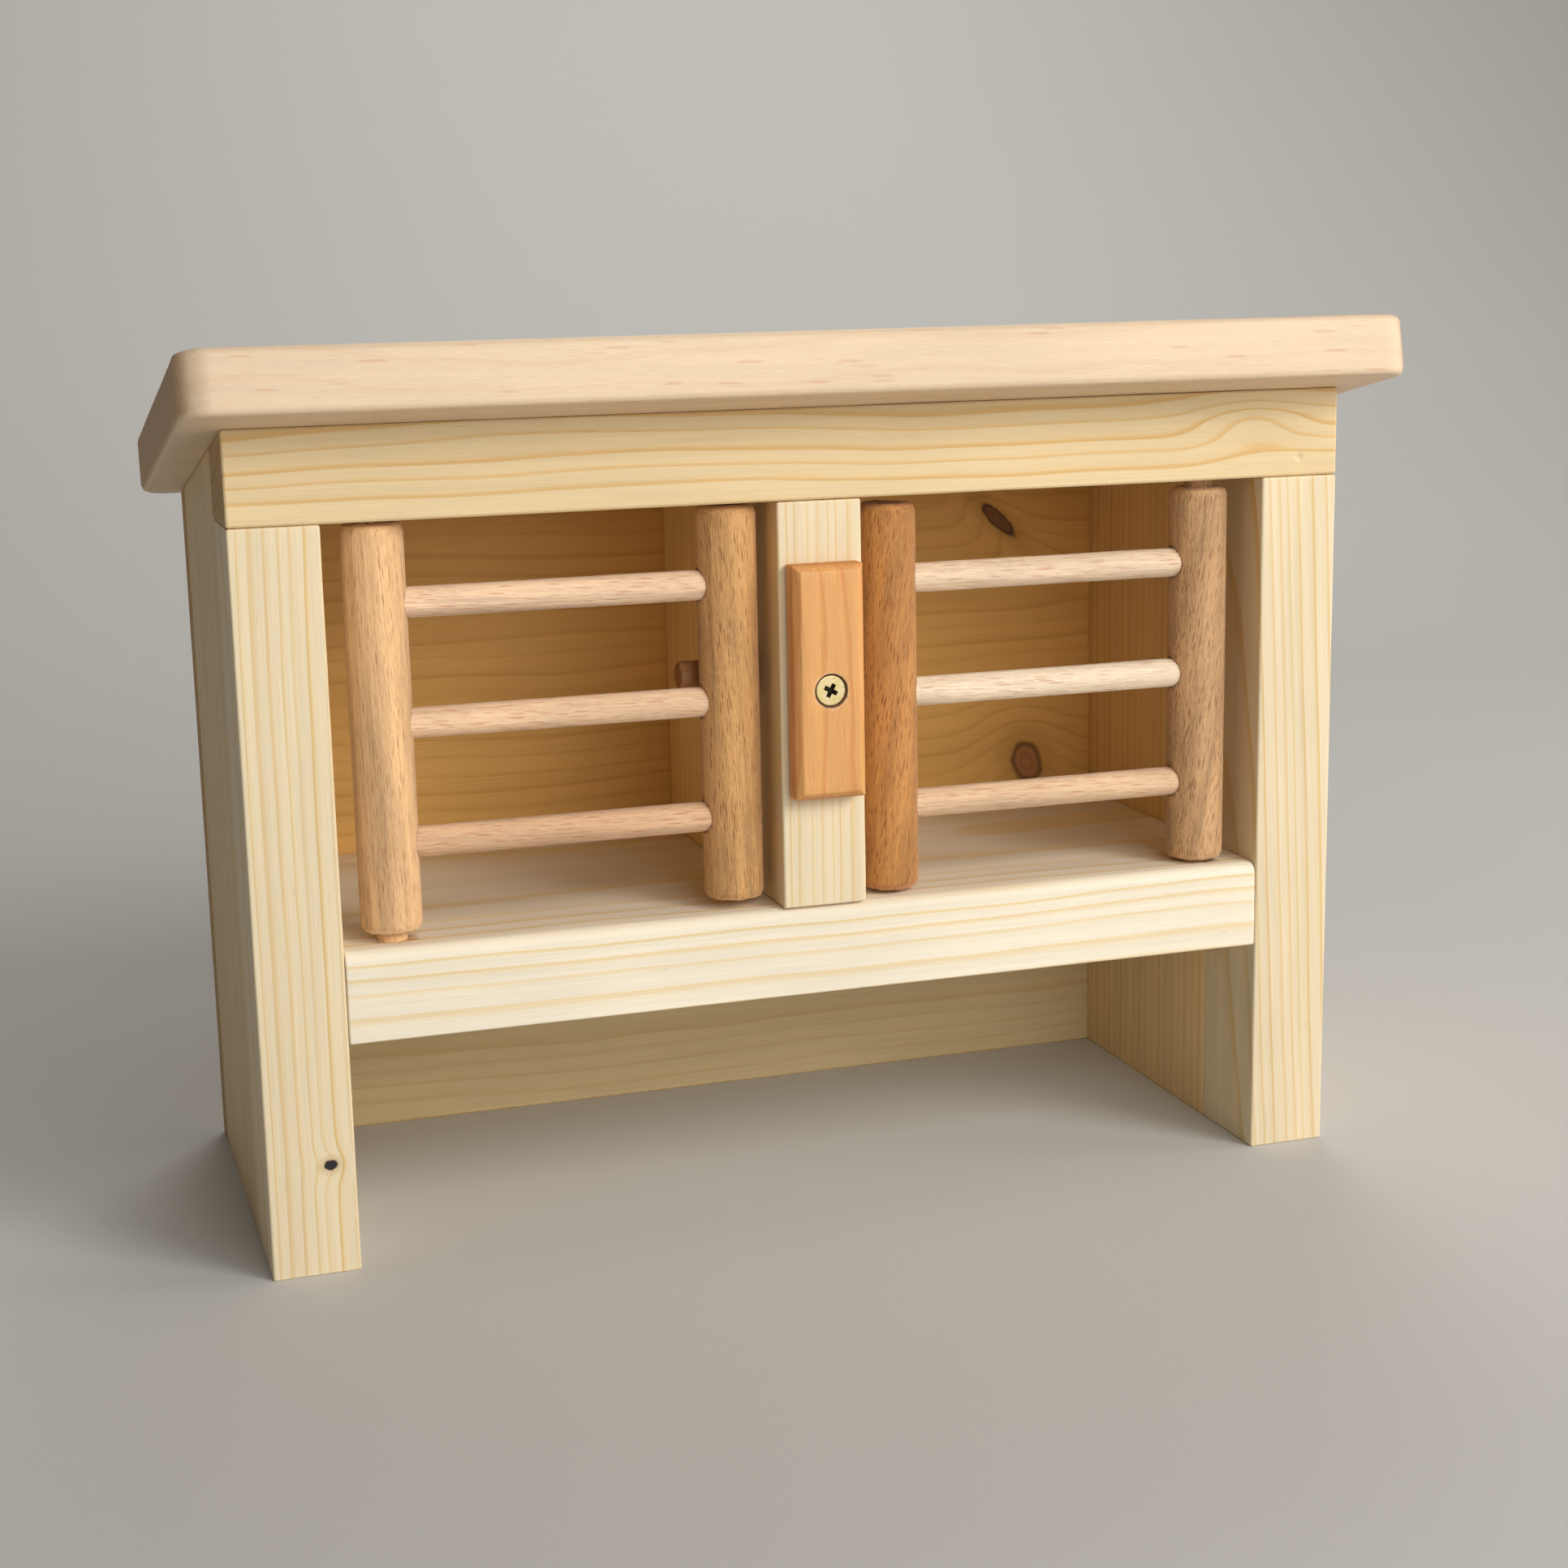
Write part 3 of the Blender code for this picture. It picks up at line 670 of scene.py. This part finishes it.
def recess_cutter(radius, depth, twist):
    """A cross-shaped driver bit, narrower at its tip, with four short ticks between its arms."""
    bm = bmesh.new()
    reach = radius * 0.58
    wide = radius * 0.155
    tip = 0.45
    for turn in range(2):
        bar = bmesh.ops.create_cube(bm, size=2.0)["verts"]
        for vertex in bar:
            narrow = tip if vertex.co.z < 0 else 1.0
            level = -depth if vertex.co.z < 0 else depth * 0.3
            vertex.co = Vector((vertex.co.x * reach * narrow, vertex.co.y * wide, level))
        around = twist + math.radians(90 * turn)
        bmesh.ops.rotate(bm, verts=bar, matrix=Matrix.Rotation(around, 3, "Z"))
    for turn in range(4):
        tick = bmesh.ops.create_cube(bm, size=2.0)["verts"]
        for vertex in tick:
            vertex.co = Vector((radius * (0.52 + 0.17 * vertex.co.x), radius * 0.022 * vertex.co.y,
                                depth * 0.09 * vertex.co.z))
        around = twist + math.radians(45 + 90 * turn)
        bmesh.ops.rotate(bm, verts=tick, matrix=Matrix.Rotation(around, 3, "Z"))
    mesh = bpy.data.meshes.new("bit")
    bm.to_mesh(mesh)
    bm.free()
    return mesh


def turned_screw(name, radius, length):
    """A countersunk screw along -Z with its head's face at z = 0."""
    profile = [(0.0, -0.02), (0.93, -0.02), (0.985, -0.035), (1.0, -0.08), (0.97, -0.13),
               (0.52, -0.58)]
    outline = [(r * radius, z * radius) for r, z in profile]
    neck = outline[-1][1]
    thread_end = -length + radius
    pitch = radius * 0.42
    for number in range(int((neck - thread_end) / pitch)):
        level = neck - pitch * number
        outline += [(radius * 0.36, level - pitch * 0.25), (radius * 0.36, level - pitch * 0.60),
                    (radius * 0.50, level - pitch * 0.85)]
    outline += [(radius * 0.30, thread_end - radius * 0.2), (0.0, -length)]
    bm = bmesh.new()
    verts = [bm.verts.new((r, 0.0, z)) for r, z in outline]
    edges = [bm.edges.new(pair) for pair in zip(verts, verts[1:])]
    bmesh.ops.spin(bm, geom=verts + edges, cent=(0, 0, 0), axis=(0, 0, 1), angle=math.tau,
                   steps=HEAD_STEPS, use_merge=True)
    bmesh.ops.remove_doubles(bm, verts=bm.verts[:], dist=TURNED_MERGE)
    bmesh.ops.recalc_face_normals(bm, faces=bm.faces[:])
    mesh = bpy.data.meshes.new(name)
    bm.to_mesh(mesh)
    bm.free()
    return mesh


def cut_away(mesh, cutter):
    """The mesh with the cutter's shape taken out of it."""
    turned = bpy.data.objects.new("turned", mesh)
    bit = bpy.data.objects.new("bit", cutter)
    for obj in (turned, bit):
        bpy.context.scene.collection.objects.link(obj)
    cut = turned.modifiers.new("recess", "BOOLEAN")
    cut.operation = "DIFFERENCE"
    cut.solver = "EXACT"
    cut.use_self = True
    cut.object = bit
    graph = bpy.context.evaluated_depsgraph_get()
    result = bpy.data.meshes.new_from_object(turned.evaluated_get(graph))
    for obj in (turned, bit):
        bpy.data.objects.remove(obj)
    return result


def make_screw(node, outward, body, seed, twist):
    """The CAD screw, turned finer, with a driver recess cut in its head."""
    low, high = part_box(node)
    centre = (low + high) / 2
    radius = (high.x - low.x) / 2
    head = Vector((centre.x, high.y if outward > 0 else low.y, centre.z))
    mesh = turned_screw(node + "_metal", radius, high.y - low.y)
    mesh = cut_away(mesh, recess_cutter(radius, radius * 0.42, twist))
    facing = Vector((0, outward, 0)).to_track_quat("Z", "X").to_matrix().to_4x4()
    mesh.transform(Matrix.Translation(head) @ facing)
    material = zinc(node + "_metal", seed, head.y, outward)
    show(node + "_metal", mesh, body, [node], material, smooth=False)


def make_screws():
    make_screw("latch_screw", -1, "carcass", 1.0, math.radians(-28))
    labels = [row + "_" + side for side in SIDES for row in ("low", "mid", "high")]
    labels += ["low_centre", "high_centre"]
    for seed, label in enumerate(labels, 2):
        twist = math.radians(37 * seed)
        make_screw("screw_back_" + label, 1, "carcass", float(seed), twist)


def finish_hidden_pins():
    """The glue pins never show, and keep their CAD shape with a beech finish of their own."""
    for node in sorted(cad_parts):
        if node.startswith("pin_"):
            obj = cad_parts[node]
            axis = "X" if node.startswith("pin_shelf") else "Z"
            material = hardwood(node + "_wood", axis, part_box(node), (0.72, 0.50, 0.30), 60.0)
            for material_slot in obj.material_slots:
                material_slot.material = material


# ---------------------------------------------------------------- stage, light and camera
def make_floor():
    """A pale sheet that lies flat and rises behind the object in one smooth sweep."""
    half_width, near, far, sweep, tall = 4.0, -3.0, 1.6, 0.9, 3.0
    outline = [(near, 0.0), (far - sweep, 0.0)]
    for number in range(1, 17):
        turn = math.radians(90 * number / 16)
        outline.append((far - sweep + sweep * math.sin(turn), sweep - sweep * math.cos(turn)))
    outline.append((far, tall))
    bm = bmesh.new()
    left = [bm.verts.new((-half_width, y, z)) for y, z in outline]
    right = [bm.verts.new((half_width, y, z)) for y, z in outline]
    for number in range(len(outline) - 1):
        bm.faces.new((left[number], right[number], right[number + 1], left[number + 1]))
    mesh = bpy.data.meshes.new("floor")
    bm.to_mesh(mesh)
    bm.free()
    for polygon in mesh.polygons:
        polygon.use_smooth = True
    g = Graph("floor_paper")
    soft = g.noise(g.vector("MULTIPLY", g.place, (2.0, 2.0, 2.0)), 2.0)
    tone = g.total(0.60, g.times(soft, 0.03))
    g.put(g.join(tone, g.times(tone, 0.985), g.times(tone, 0.96)), g.shader.inputs["Base Color"])
    g.shader.inputs["Roughness"].default_value = 0.85
    mesh.materials.append(g.material)
    floor = bpy.data.objects.new("floor", mesh)
    bpy.context.scene.collection.objects.link(floor)


def make_light(name, place, target, size, watts, colour):
    light = bpy.data.lights.new(name, "AREA")
    light.shape = "DISK"
    light.size = size
    light.energy = watts
    light.color = colour
    obj = bpy.data.objects.new(name, light)
    obj.location = place
    obj.rotation_euler = (Vector(target) - Vector(place)).to_track_quat("-Z", "Y").to_euler()
    bpy.context.scene.collection.objects.link(obj)


def make_lights():
    target = (0.0, 0.0, 0.11)
    make_light("key", (1.15, -1.55, 1.20), target, 1.05, 25.5, (1.0, 0.98, 0.95))
    make_light("fill", (0.15, -1.75, 0.72), target, 1.2, 13.0, (1.0, 0.98, 0.95))
    make_light("right_rim", (1.50, -0.38, 0.50), target, 0.5, 5.0, (1.0, 0.97, 0.93))
    make_light("rear", (0.45, 1.30, 1.40), target, 1.0, 9.0, (1.0, 0.98, 0.95))
    world = bpy.data.worlds.new("soft_room")
    world.use_nodes = True
    background = world.node_tree.nodes["Background"]
    background.inputs["Color"].default_value = (1.0, 0.92, 0.80, 1.0)
    background.inputs["Strength"].default_value = 0.12
    bpy.context.scene.world = world


def make_camera():
    data = bpy.data.cameras.new("camera")
    data.sensor_width = 36.0
    data.lens = 58.0
    data.clip_start = 0.01
    turn = (Matrix.Rotation(math.radians(-17.761), 4, "Z")
            @ Matrix.Rotation(math.radians(-11.596), 4, "X")
            @ Matrix.Rotation(math.radians(1.175), 4, "Y")
            @ Matrix.Rotation(math.radians(90.0), 4, "X"))
    camera = bpy.data.objects.new("camera", data)
    camera.matrix_world = Matrix.Translation((-0.2106, -0.6796, 0.2533)) @ turn
    bpy.context.scene.collection.objects.link(camera)
    bpy.context.scene.camera = camera


make_roof()
make_boards()
make_doors()
make_stop()
make_latch()
make_screws()
finish_hidden_pins()
make_floor()
make_lights()
make_camera()
bpy.context.scene.view_settings.view_transform = "Standard"
